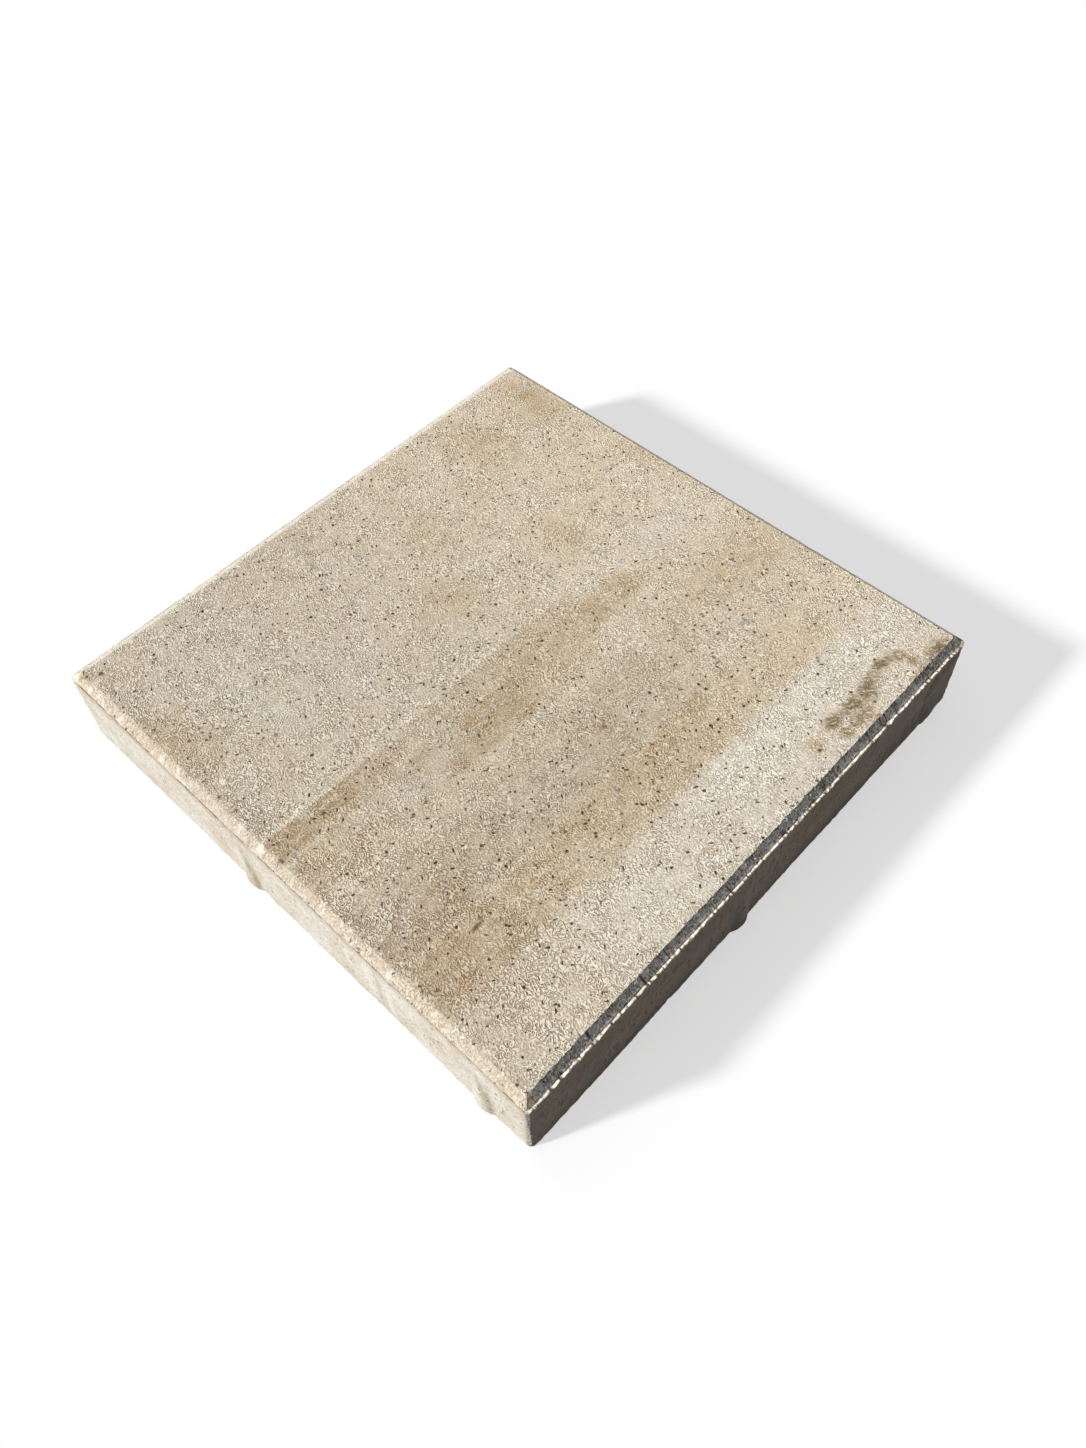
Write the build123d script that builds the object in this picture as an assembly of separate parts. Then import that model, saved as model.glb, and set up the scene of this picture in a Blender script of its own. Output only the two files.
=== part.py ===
# Concrete paving slab, square, cast in one piece.
# Millimetres, +Z up. The origin is the middle of the bed face, which lies on the ground.
from build123d import *
import os

# Slab
side_length = 400.0        # along each side at the bed face, without the nibs
thickness = 65.0           # bed face to walking face
side_draft = 1.5           # each side leans in by this much between bed face and chamfer
corner_radius = 4.0        # upright corners at the bed face
arris_radius = 1.0         # corners of the walking face

# Chamfer round the walking face, and the fin of concrete pressed up at its foot
chamfer_width = 4.4        # in plan, from the fin's foot to the walking face
chamfer_drop = 6.0         # height from the fin's foot to the walking face
fin_height = 1.1
fin_foot_width = 1.8       # thickness of the fin where it rises from the chamfer
fin_crest_width = 0.6      # thickness of the fin at its crest

# Spacer nibs, seen from outside each side, measured from the middle of the side
front_nib_offsets = (-34.0, 164.0)      # on the -Y side and, turned round, on the +Y side
right_nib_offsets = (-22.0, 174.0)      # on the +X side and, turned round, on the -X side
nib_width = 16.0           # across the nib at the bed face
nib_projection = 2.6       # out from the side at the bed face
nib_start_gap = 9.0        # from the chamfer's foot down to the point where the nib begins

SIDES = 4
FULL_TURN = 360.0

chamfer_foot = thickness - chamfer_drop
fin_crest = chamfer_foot + fin_height


def side_inset(height):
    """How far a side has leaned in at a height above the bed face."""
    return side_draft * height / chamfer_foot


def outline(height, extra_inset, radius):
    """Rounded square at a height, inset from the leaning sides."""
    size = side_length - 2 * (side_inset(height) + extra_inset)
    return Plane.XY.offset(height) * RectangleRounded(size, size, radius)


def wedge_block(low, high):
    """Solid between two rounded squares with straight flanks."""
    return loft([low, high], ruled=True)


def slab_body():
    """Block with leaning sides, up to the crest of the fin."""
    low = outline(0, 0, corner_radius)
    high = outline(fin_crest, 0, corner_radius)
    return wedge_block(low, high)


def fin_pocket():
    """Space inside the fin, above the foot of the chamfer."""
    low = outline(chamfer_foot, fin_foot_width, corner_radius / 2)
    high = outline(fin_crest, fin_crest_width, corner_radius)
    return wedge_block(low, high)


def chamfered_face():
    """Raised middle with the chamfer as its flank and the walking face on top."""
    arris_inset = fin_foot_width + chamfer_width - side_inset(chamfer_drop)
    low = outline(chamfer_foot, fin_foot_width, corner_radius / 2)
    high = outline(thickness, arris_inset, arris_radius)
    return wedge_block(low, high)


def spacer_nib():
    """Round rib that leans into the -Y side and comes out of it towards the bed face."""
    radius = (nib_width ** 2 / 4 + nib_projection ** 2) / (2 * nib_projection)
    front = -side_length / 2 - nib_projection
    nib_height = chamfer_foot - nib_start_gap
    lean = (nib_projection + side_inset(nib_height)) / nib_height
    low_centre = Vector(0, front + radius, 0)
    high_centre = Vector(0, front + radius + lean * chamfer_foot, chamfer_foot)
    low = Plane(low_centre) * Circle(radius)
    high = Plane(high_centre) * Circle(radius)
    return loft([low, high], ruled=True)


def spacer_nibs():
    """Two nibs on each of the four sides, turned with the side."""
    nib = spacer_nib()
    nibs = []
    for side in range(SIDES):
        turn = Rot(Z=FULL_TURN * side / SIDES)
        offsets = right_nib_offsets if side % 2 else front_nib_offsets
        nibs += [turn * Pos(offset, 0, 0) * nib for offset in offsets]
    return nibs


def paving_slab():
    """Slab with its fin, chamfer and nibs as one solid."""
    slab = slab_body() - fin_pocket()
    slab += chamfered_face()
    for nib in spacer_nibs():
        slab += nib
    return slab


os.makedirs("parts", exist_ok=True)
export_step(paving_slab(), "parts/paving_slab.step")
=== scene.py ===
# Concrete paving slab, lying on its bed face. Metres, +Z up, the origin in the middle of the bed face.
import bmesh
import bpy
import math
from mathutils import Matrix, Vector, noise


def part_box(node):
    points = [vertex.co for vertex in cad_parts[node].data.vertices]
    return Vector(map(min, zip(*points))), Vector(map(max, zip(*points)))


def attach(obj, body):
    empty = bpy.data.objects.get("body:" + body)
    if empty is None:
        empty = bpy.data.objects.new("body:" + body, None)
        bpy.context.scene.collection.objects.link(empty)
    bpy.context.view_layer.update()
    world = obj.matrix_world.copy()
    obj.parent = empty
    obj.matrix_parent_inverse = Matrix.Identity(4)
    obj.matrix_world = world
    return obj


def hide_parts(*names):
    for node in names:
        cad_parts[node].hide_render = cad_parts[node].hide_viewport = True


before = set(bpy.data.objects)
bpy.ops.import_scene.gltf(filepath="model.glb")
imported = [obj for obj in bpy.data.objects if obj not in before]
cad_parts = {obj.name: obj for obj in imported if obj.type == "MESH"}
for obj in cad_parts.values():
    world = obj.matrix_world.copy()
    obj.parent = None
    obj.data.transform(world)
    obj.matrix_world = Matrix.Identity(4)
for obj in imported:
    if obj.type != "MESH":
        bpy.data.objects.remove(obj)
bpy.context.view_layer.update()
mm = 0.001


# Walking face
# The flat upper face of the casting. A steel head pressed it, so it is a plane of fine sandy concrete,
# with a slow unevenness and the shallow hollows that weather and feet have left.

high_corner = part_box("paving_slab")[1]
thickness = high_corner.z
face_half = 192.0 * mm
face_cells = 192                       # cells along a side of the walking face
rim_cuts = 1                           # extra points in each cell at the rim, for the finer edges

slab = bmesh.new()
bmesh.ops.create_grid(
    slab, x_segments=face_cells, y_segments=face_cells, size=face_half,
    matrix=Matrix.Translation((0, 0, thickness)))


def open_rim(mesh):
    """The edges that only one face uses."""
    return [edge for edge in mesh.edges if edge.is_boundary]


bmesh.ops.subdivide_edges(slab, edges=open_rim(slab), cuts=rim_cuts)


# Chamfer, fin and sides
# The head's bevelled rim leaves a chamfer. Concrete squeezed up between head and mould wall stays at its
# foot as a thin ragged fin. Below it the sides are the skin of the steel mould, a little wider at the bed.

side_length = 400 * mm
side_draft = 1.5 * mm                  # each side leans in by this much up to the chamfer's foot
chamfer_foot = thickness - 6.0 * mm
fin_crest = chamfer_foot + 1.1 * mm
arris_half = 192.35 * mm
foot_half = 196.9 * mm                 # at the chamfer's foot, inside the fin


def side_half(height):
    """Half the slab's width at a height, over its leaning sides."""
    return side_length / 2 - side_draft * height / chamfer_foot


# Height, half width and number of steps down to that line, from the walking face to the bed face.
edge_lines = (
    (thickness - 0.12 * mm, arris_half, 1),
    (thickness - 0.5 * mm, arris_half + 0.3 * mm, 1),
    (chamfer_foot + 0.4 * mm, foot_half - 0.35 * mm, 7),
    (chamfer_foot, foot_half, 1),
    (chamfer_foot + 0.3 * mm, foot_half + 0.2 * mm, 1),
    (fin_crest - 0.05 * mm, side_half(fin_crest) - 1.25 * mm, 1),
    (fin_crest, side_half(fin_crest) - 0.3 * mm, 1),
    (fin_crest - 0.25 * mm, side_half(fin_crest) - 0.06 * mm, 1),
    (chamfer_foot, side_half(chamfer_foot), 1),
    (1.2 * mm, side_half(1.2 * mm), 19),
    (0.3 * mm, side_length / 2 - 0.2 * mm, 1),
    (0.0, side_length / 2 - 0.8 * mm, 1),
)


def extrude_to(mesh, rim, here, there):
    """Extrudes the open rim from one line to the next and returns the new rim."""
    made = bmesh.ops.extrude_edge_only(mesh, edges=rim)["geom"]
    points = [part for part in made if isinstance(part, bmesh.types.BMVert)]
    growth = there[1] / here[1]
    bmesh.ops.scale(mesh, vec=(growth, growth, 1), verts=points)
    bmesh.ops.translate(mesh, vec=(0, 0, there[0] - here[0]), verts=points)
    fresh = set(points)
    return [
        part for part in made
        if isinstance(part, bmesh.types.BMEdge) and fresh.issuperset(part.verts)]


rim = open_rim(slab)
here = (thickness, face_half)
for height, half, steps in edge_lines:
    start = here
    for step in range(1, steps + 1):
        part_way = step / steps
        there = (
            start[0] + (height - start[0]) * part_way,
            start[1] + (half - start[1]) * part_way)
        rim = extrude_to(slab, rim, here, there)
        here = there


# Bed face
# The underside of the casting, which lay on the pallet while the slab was pressed. It is flat overall,
# coarse and open. Its cells are larger, and the outermost ones take up the extra points of the rim.

bed_cells = 48
bed_cuts = face_cells * (rim_cuts + 1) // bed_cells - 1
bed = bmesh.ops.create_grid(
    slab, x_segments=bed_cells, y_segments=bed_cells, size=here[1],
    matrix=Matrix.Rotation(math.pi, 4, "X"))["verts"]
bed_points = set(bed)
bed_rim = [edge for edge in open_rim(slab) if bed_points.issuperset(edge.verts)]
bmesh.ops.subdivide_edges(slab, edges=bed_rim, cuts=bed_cuts)
bmesh.ops.remove_doubles(slab, verts=slab.verts[:], dist=0.05 * mm)


# Corners
# The steel mould rounds the upright corners, and the head's rim rounds those of the chamfer to match.
# The upright corner nearest the camera has kept a sharper edge.

mould_corner = 3.2 * mm
sharper_corner = 2.2 * mm


def round_corner(point):
    """Pulls a point of a square outline onto the arc at its corner."""
    half = max(abs(point.x), abs(point.y))
    sharper = point.x > 0 > point.y and point.z < chamfer_foot - 0.1 * mm
    radius = sharper_corner if sharper else mould_corner
    centre = half - radius
    across, along = abs(point.x) - centre, abs(point.y) - centre
    if across <= 0 or along <= 0:
        return
    pull = radius / math.hypot(across, along)
    point.x = math.copysign(centre + across * pull, point.x)
    point.y = math.copysign(centre + along * pull, point.y)


for vert in slab.verts:
    if max(abs(vert.co.x), abs(vert.co.y)) > face_half + 0.05 * mm:
        round_corner(vert.co)


# Spacer nibs
# Two tapered round ribs on each side, cast with the slab. They keep a joint open between neighbours.
# Each leans into the side near the chamfer and stands proud of it at the bed face.

front_nib_offsets = (-34 * mm, 164 * mm)     # from the middle of the -Y and +Y sides, seen from outside
right_nib_offsets = (-22 * mm, 174 * mm)     # from the middle of the +X and -X sides
nib_width = 16 * mm
nib_projection = high_corner.x - side_length / 2
nib_start = chamfer_foot - 9 * mm
nib_radius = (nib_width ** 2 / 4 + nib_projection ** 2) / (2 * nib_projection)
nib_lean = (side_length / 2 + nib_projection - side_half(nib_start)) / nib_start
nib_blend = 0.5 * mm
worn_nib = (1, 174 * mm)               # side and offset of the nib that has been knocked flatter
worn_nib_loss = 1.6 * mm
worn_nib_spread = 0.35                 # its flank towards the corner is as much flatter
skin_reach = 1.6 * mm + side_draft     # the points of a side lie this near the slab's widest outline

SIDES = (Vector((0, -1, 0)), Vector((1, 0, 0)), Vector((0, 1, 0)), Vector((-1, 0, 0)))
UP = Vector((0, 0, 1))


def nearest_side(point):
    """Outward direction of the side that a point is nearest to."""
    return max(SIDES, key=point.dot)


def along_side(outward):
    """Direction to the right along a side, seen from outside."""
    return UP.cross(outward)


def nib_surface(outward, offset, height):
    """How far out the nibs reach at a place on a side."""
    best = 0.0
    nib_offsets = right_nib_offsets if SIDES.index(outward) % 2 else front_nib_offsets
    for nib_offset in nib_offsets:
        across = offset - nib_offset
        if abs(across) < nib_radius:
            crown = side_length / 2 + nib_projection - nib_lean * height
            if (SIDES.index(outward), nib_offset) == worn_nib:
                crown -= worn_nib_loss
                across *= worn_nib_spread if across > 0 else 1
            best = max(best, crown - nib_radius + math.sqrt(nib_radius ** 2 - across ** 2))
    return best


def smooth_max(first, second, blend):
    """The larger of two lengths, with a soft turn between them."""
    mix = max(blend - abs(first - second), 0.0) / blend
    return max(first, second) + mix * mix * blend / 4


for vert in slab.verts:
    outward = nearest_side(vert.co)
    out = vert.co.dot(outward)
    if vert.co.z < nib_start and out > side_length / 2 - skin_reach:
        offset = vert.co.dot(along_side(outward))
        nib = nib_surface(outward, offset, vert.co.z) - (side_half(vert.co.z) - out)
        moved = smooth_max(out, nib, nib_blend)
        vert.co += outward * (moved - out)


# Wear and casting marks
# Concrete from a vibrating press is never true: the fin is ragged, the arrises have lost grains, the base
# has crumbs and bites where the wet mix tore from the mould, and the skins are slightly uneven.

def uneven(point, size, seed):
    """Smooth random value between -1 and 1 that changes over a given size."""
    return noise.noise(point / size + Vector((seed, 2 * seed, -seed)))


def waves(point, rows):
    """Sum of random waves, each given by its height, its size and its seed."""
    return sum(wave_height * uneven(point, size, seed) for wave_height, size, seed in rows)


def chip(point, size, seed, start):
    """Depth of the bites along an arris, mostly nothing, sometimes up to 1."""
    return max(uneven(point, size, seed) - start, 0) / (1 - start)


def edge_weight(distance, reach):
    """Fades from 1 at an edge to nothing at a distance."""
    return max(1 - distance / reach, 0) ** 1.5


# The walking face, with hollows where fines have washed out.
face_drop = 0.2 * mm
face_waves = (
    (0.10 * mm, 55 * mm, 3), (0.06 * mm, 18 * mm, 5), (0.05 * mm, 5 * mm, 7), (0.04 * mm, 2.6 * mm, 8))
hollow_size = 7 * mm
hollow_depth = 2.2 * mm
hollow_start = 0.52                    # of the random value; the higher, the fewer hollows


def worn_face(point):
    """Drop of the walking face below its plane."""
    hollow = hollow_depth * max(uneven(point, hollow_size, 11) - hollow_start, 0)
    return face_drop + waves(point, face_waves) + hollow


# The chamfers where the fin was smeared over its groove while the mix was wet.
smeared_sides = (SIDES[0], SIDES[3])
smear_start = 190.8 * mm
smear_end = side_half(fin_crest) - 0.03 * mm
smear_drop = 4.9 * mm
smear_bend = 1.35
smear_fade = 2.5 * mm                  # towards the open chamfer at the end of the smear


def smear(point, outward, out, offset):
    """Moves a point of a smeared chamfer onto the smear's round slope."""
    if outward not in smeared_sides or point.z < chamfer_foot - 0.05 * mm:
        return
    if smear_start < out < smear_end:
        part_way = (out - smear_start) / (smear_end - smear_start)
        smeared_height = thickness - smear_drop * part_way ** smear_bend
        to_open_end = foot_half - (offset if outward == smeared_sides[0] else -offset)
        smeared_share = min(max(to_open_end / smear_fade, 0), 1)
        point.z += (smeared_height - point.z) * smeared_share


# The chamfers' upper edges and slopes. Each side has its own share of chips and of open grain.
arris_wear = (0.3, 1.0, 0.15, 0.15)
grain_depth = (0.2, 1.0, 0.7, 0.2)
arris_reach = 2.4 * mm
arris_loss = 0.25 * mm
arris_waves = ((0.55 * mm, 2.2 * mm, 19),)
arris_chip = 1.9 * mm
open_grain_depth = 0.40 * mm
groove_depth = 0.45 * mm
groove_size = 1.7 * mm
open_grain_waves = ((0.55 * mm, 1.5 * mm, 67),)


def chamfer_shift(point, outward, out, offset):
    """How the chamfer's edge and slope have worn."""
    side = SIDES.index(outward)
    inward_down = -(outward + UP)
    distance = math.hypot(out - arris_half, point.z - thickness)
    bite = arris_loss + waves(point, arris_waves) + arris_chip * chip(point, 4 * mm, 23, 0.35)
    shift = inward_down * arris_wear[side] * max(bite, 0) * edge_weight(distance, arris_reach)
    if point.z < thickness - 0.3 * mm:
        along_slope = Vector((offset, point.z / 4, 0)) + outward
        grain = open_grain_depth + groove_depth * uneven(along_slope, groove_size, 29)
        grain += waves(point, open_grain_waves)
        shift += inward_down * grain_depth[side] * grain
    return shift


# The fin, and the slope that the chamfer has where the fin has broken off.
fin_wear = (0.0, 1.0, 0.12, 0.15)      # raggedness on each side
fin_kept = (1.0, 1.0, 0.7, 1.0)        # share of the fin's height that is left on the whole side
fin_waves = ((0.8, 2.8 * mm, 13), (0.5, 11 * mm, 17))
fin_break = 3.2
fin_most = 1.25
break_slope = 1.0                      # fall of a break, for each length out
fin_lean = 0.1 * mm
fin_spread_inside = 1.2 * mm
fin_spread_outside = 0.6 * mm
fin_spread_size = 2.4 * mm


def fin_share(point, wear):
    """How much of the fin is left at a place along the edge."""
    breaks = fin_break * chip(point, 2.0 * mm, 71, 0.16)
    return min(max(1 + wear * (waves(point, fin_waves) - breaks), 0.0), fin_most)


def fin_shift(point, outward, out, offset):
    """How the fin has broken and leaned."""
    side = SIDES.index(outward)
    share = fin_kept[side] * fin_share(Vector((offset, out * 0.2, 0)) + outward, fin_wear[side])
    broken_height = chamfer_foot - break_slope * max(out - foot_half, 0)
    shift = UP * (point.z - broken_height) * (share - 1)
    if out > foot_half + 0.1 * mm:
        inside = out < side_half(fin_crest) - 0.6 * mm
        spread = fin_spread_inside if inside else fin_spread_outside
        spread *= uneven(Vector((offset, out, 0)) + outward, fin_spread_size, 31)
        shift += outward * (fin_lean + fin_wear[side] * spread)
    return shift


# The mould skins and the crumbled edge round the bed face.
side_loss = 0.12 * mm
side_waves = ((0.16 * mm, 9 * mm, 41), (0.3 * mm, 60 * mm, 43), (0.22 * mm, 3.5 * mm, 37))
base_reach = 5 * mm
base_lift_reach = 2 * mm
base_loss = 0.05 * mm
base_waves = ((0.45 * mm, 3 * mm, 47),)
base_chip = 1.8 * mm


def side_shift(point, outward):
    """How a side and its lower edge have worn."""
    shift = outward * (waves(point, side_waves) - side_loss)
    bite = max(base_loss + waves(point, base_waves), 0) + base_chip * chip(point, 9 * mm, 53, 0.42)
    shift -= outward * bite * edge_weight(point.z, base_reach)
    return shift + UP * 0.5 * bite * edge_weight(point.z, base_lift_reach)


# The bed face, and the upright corners. The corner nearest the camera is jagged and its foot is broken.
bed_lift = 0.25 * mm
bed_waves = ((0.25 * mm, 16 * mm, 59),)
corner_reach = 9 * mm
corner_loss = 0.1 * mm
corner_waves = ((0.7 * mm, 4 * mm, 61),)
broken_foot = 1.2 * mm
jagged_corner = 1.3 * mm
jag_size = 2.4 * mm
jag_reach = 4 * mm


def corner_shift(point):
    """How an upright corner has worn."""
    gap = side_half(point.z) - min(abs(point.x), abs(point.y))
    if gap >= corner_reach or point.z >= chamfer_foot:
        return Vector((0, 0, 0))
    weight = edge_weight(gap, corner_reach)
    bite = max(corner_loss + waves(point, corner_waves), 0) * weight
    if point.x > 0 > point.y:
        bite += broken_foot * weight * edge_weight(point.z, corner_reach)
        bite += jagged_corner * max(uneven(point, jag_size, 73), 0) * edge_weight(gap, jag_reach)
    return -Vector((math.copysign(bite, point.x), math.copysign(bite, point.y), 0))


face_from = thickness - 0.05 * mm      # heights at which the walking face, the slope and the fin begin
slope_from = chamfer_foot + 1.5 * mm
fin_from = chamfer_foot - 0.5 * mm
bed_half = side_length / 2 - 0.85 * mm

for vert in slab.verts:
    point = vert.co.copy()
    outward = nearest_side(point)
    out = point.dot(outward)
    offset = point.dot(along_side(outward))
    shift = Vector((0, 0, 0))
    if point.z > face_from:
        shift -= UP * worn_face(point)
    smear(point, outward, out, offset)
    if point.z > slope_from:
        shift += chamfer_shift(point, outward, out, offset)
    elif point.z > fin_from and outward not in smeared_sides:
        shift += fin_shift(point, outward, out, offset)
    elif point.z > 0.01 * mm or out > bed_half:
        shift += side_shift(point, outward)
    else:
        shift += UP * (bed_lift + waves(point, bed_waves))
    vert.co = point + shift + corner_shift(point)
    vert.co.z = min(max(vert.co.z, 0), thickness)

bmesh.ops.recalc_face_normals(slab, faces=slab.faces[:])
FACE, SKIN, BED = 0, 1, 2              # material of each face of the mesh
for face in slab.faces:
    centre = face.calc_center_median()
    out = centre.dot(nearest_side(centre))
    face.smooth = True
    on_bed = centre.z < 0.8 * mm and out < side_length / 2 - 1.5 * mm
    on_slope = centre.z > chamfer_foot and out < foot_half or centre.z > thickness - 3 * mm
    on_smear = nearest_side(centre) in smeared_sides and centre.z > chamfer_foot + 1.2 * mm
    face.material_index = BED if on_bed else FACE if on_slope or on_smear else SKIN
slab_mesh = bpy.data.meshes.new("cast_slab")
slab.to_mesh(slab_mesh)
slab.free()
cast_slab = bpy.data.objects.new("cast_slab", slab_mesh)
bpy.context.scene.collection.objects.link(cast_slab)
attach(cast_slab, "root")
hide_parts("paving_slab")


# Pressed face concrete
# Sand and cement pressed against steel: matt, fine-grained and beige. Grains show as light and dark
# flecks, air leaves pinholes, and rain and storage have left brown run-off bands and a pale one.

def tone(hex_colour):
    """An sRGB hex colour as linear light."""
    shares = [int(hex_colour[start:start + 2], 16) / 255 for start in (1, 3, 5)]
    linear = [share / 12.92 if share <= 0.04045 else ((share + 0.055) / 1.055) ** 2.4 for share in shares]
    return (*linear, 1.0)


def add(tree, kind, inputs=None, **settings):
    """Adds a node, sets its options, and gives its inputs values or links."""
    node = tree.nodes.new(kind)
    for name, value in settings.items():
        setattr(node, name, value)
    for key, value in (inputs or {}).items():
        if isinstance(value, bpy.types.NodeSocket):
            tree.links.new(value, node.inputs[key])
        else:
            node.inputs[key].default_value = value
    return node


def new_material(name):
    """Empty material with the places on the piece in millimetres."""
    material = bpy.data.materials.new(name)
    material.use_nodes = True
    tree = material.node_tree
    tree.nodes.clear()
    place = add(tree, "ShaderNodeTexCoord").outputs["Object"]
    in_mm = add(tree, "ShaderNodeVectorMath", {0: place, "Scale": 1 / mm}, operation="SCALE").outputs[0]
    return material, tree, in_mm


def wobble(tree, place, size, reach):
    """Places pushed about at random, so that what is drawn at them has ragged outlines."""
    inputs = {"Vector": place, "Scale": 1 / size, "Detail": 3.0}
    push = add(tree, "ShaderNodeTexNoise", inputs).outputs["Color"]
    inputs = {0: push, 1: (0.5, 0.5, 0.5)}
    centred = add(tree, "ShaderNodeVectorMath", inputs, operation="SUBTRACT").outputs[0]
    inputs = {0: centred, 1: (2 * reach, 2 * reach, 2 * reach), 2: place}
    return add(tree, "ShaderNodeVectorMath", inputs, operation="MULTIPLY_ADD").outputs[0]


hue_of_light = (0.86, 1.03, 1.17)      # how much red, green and blue follow a grain's lightness


def scaled(tree, colour, value, low, high):
    """Darkens and lightens a colour by a random value; dark grains are browner and light ones paler."""
    usual_low, usual_high = 0.3, 0.7   # what the random values mostly lie between
    gain = (high - low) / (usual_high - usual_low)
    start = low - 1 - usual_low * gain
    gains = [share * gain for share in hue_of_light]
    starts = [1 + share * start for share in hue_of_light]
    inputs = {0: value, 1: gains, 2: starts}
    grain = add(tree, "ShaderNodeVectorMath", inputs, operation="MULTIPLY_ADD").outputs[0]
    return add(tree, "ShaderNodeVectorMath", {0: colour, 1: grain}, operation="MULTIPLY").outputs[0]


def mixed_concrete(tree, value, low, high, darkest, usual, palest):
    """The concrete's own colour, from darkest to palest while a random value goes from low to high."""
    drift = add(tree, "ShaderNodeValToRGB", {0: value})
    drift.color_ramp.elements.new((low + high) / 2)
    places = (low, (low + high) / 2, high)
    for element, place, hex_colour in zip(drift.color_ramp.elements, places, (darkest, usual, palest)):
        element.position = place
        element.color = tone(hex_colour)
    return drift.outputs[0]


def speckle(tree, place, spacing, radius, share, seed):
    """Mask of scattered spots: spacing and largest radius in mm, and the share of cells with a spot."""
    smallest, core = 0.4, 0.55         # shares of the largest radius, and of each spot's own
    moved = add(tree, "ShaderNodeVectorMath", {0: place, 1: (seed, -seed, 2 * seed)}).outputs[0]
    cells = add(tree, "ShaderNodeTexVoronoi", {"Vector": moved, "Scale": 1 / spacing})
    pick = add(tree, "ShaderNodeSeparateColor", {0: cells.outputs["Color"]})
    size = {0: pick.outputs[1], 3: smallest * radius / spacing, 4: radius / spacing}
    reach = add(tree, "ShaderNodeMapRange", size).outputs[0]
    inputs = {0: cells.outputs["Distance"], 1: reach}
    apart = add(tree, "ShaderNodeMath", inputs, operation="DIVIDE").outputs[0]
    spot = add(tree, "ShaderNodeMapRange", {0: apart, 1: 1.0, 2: core}).outputs[0]
    chosen = add(tree, "ShaderNodeMath", {0: pick.outputs[0], 1: share}, operation="LESS_THAN").outputs[0]
    return add(tree, "ShaderNodeMath", {0: spot, 1: chosen}, operation="MULTIPLY").outputs[0]


def across_edge(tree, place, squeeze):
    """Places in which what is drawn comes out longer across the slab's nearest edge than along it."""
    parts = add(tree, "ShaderNodeSeparateXYZ", {0: place}).outputs
    far_x, far_y = (
        add(tree, "ShaderNodeMath", {0: part}, operation="ABSOLUTE").outputs[0] for part in parts[:2])
    on_x = add(tree, "ShaderNodeMath", {0: far_x, 1: far_y}, operation="GREATER_THAN").outputs[0]
    along = add(tree, "ShaderNodeMix", {0: on_x, 2: parts[0], 3: parts[1]}).outputs[0]
    outer = add(tree, "ShaderNodeMix", {0: on_x, 2: parts[1], 3: parts[0]}).outputs[0]
    turned = add(tree, "ShaderNodeCombineXYZ", {0: along, 1: outer, 2: parts[2]}).outputs[0]
    apart = add(tree, "ShaderNodeCombineXYZ", {1: on_x}).outputs[0]
    inputs = {0: turned, 1: (1, squeeze, squeeze), 2: apart}
    return add(tree, "ShaderNodeVectorMath", inputs, operation="MULTIPLY_ADD").outputs[0]


def spots(tree, place, where, core=0.45):
    """Mask of ellipsoids, given by centre and three radii in mm, that fade from a core to the radii."""
    mask = None
    for centre, radii in where:
        local = add(tree, "ShaderNodeVectorMath", {0: place, 1: centre}, operation="SUBTRACT").outputs[0]
        local = add(tree, "ShaderNodeVectorMath", {0: local, 1: radii}, operation="DIVIDE").outputs[0]
        apart = add(tree, "ShaderNodeVectorMath", {0: local}, operation="LENGTH").outputs["Value"]
        spot = add(tree, "ShaderNodeMapRange", {0: apart, 1: 1.0, 2: core}).outputs[0]
        mask = spot if mask is None else add(
            tree, "ShaderNodeMath", {0: mask, 1: spot}, operation="MAXIMUM").outputs[0]
    return mask


def stain(tree, under, hex_colour, strength, mask, patchy):
    """Lays a stain over a colour, by a mask broken up by a random value."""
    amount = add(tree, "ShaderNodeMath", {0: mask, 1: patchy}, operation="MULTIPLY").outputs[0]
    amount = add(tree, "ShaderNodeMath", {0: amount, 1: strength}, operation="MULTIPLY").outputs[0]
    inputs = {0: amount, 6: under, 7: tone(hex_colour)}
    return add(tree, "ShaderNodeMix", inputs, data_type="RGBA").outputs[2]


def band(tree, x, y, left, right, near, far, softness):
    """Mask between edges in x and ends in y, with the softness of each edge and of the ends."""
    left_soft, right_soft, end_soft = softness
    mask = None
    for value, start, stop in (
            (x, left - left_soft / 2, left + left_soft / 2),
            (x, right + right_soft / 2, right - right_soft / 2),
            (y, near - end_soft / 2, near + end_soft / 2),
            (y, far + end_soft / 2, far - end_soft / 2)):
        inputs = {0: value, 1: start, 2: stop}
        step = add(tree, "ShaderNodeMapRange", inputs, interpolation_type="SMOOTHSTEP").outputs[0]
        mask = step if mask is None else add(
            tree, "ShaderNodeMath", {0: mask, 1: step}, operation="MULTIPLY").outputs[0]
    return mask


face_concrete, tree, in_mm = new_material("pressed_face_concrete")
along_x, along_y, height = add(tree, "ShaderNodeSeparateXYZ", {0: in_mm}).outputs
ragged = wobble(tree, in_mm, 1.8, 0.8)
long_ways = add(tree, "ShaderNodeVectorMath", {0: in_mm, 1: (1, 0.3, 1)}, operation="MULTIPLY").outputs[0]

# Places in which what is drawn comes out longer at one of two angles across the face.
rising, falling = (
    add(tree, "ShaderNodeMapping", {
        "Vector": ragged, "Rotation": (0, 0, math.radians(angle)), "Scale": (2.4, 1, 1)},
        vector_type="TEXTURE").outputs[0]
    for angle in (52, -38))

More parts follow.
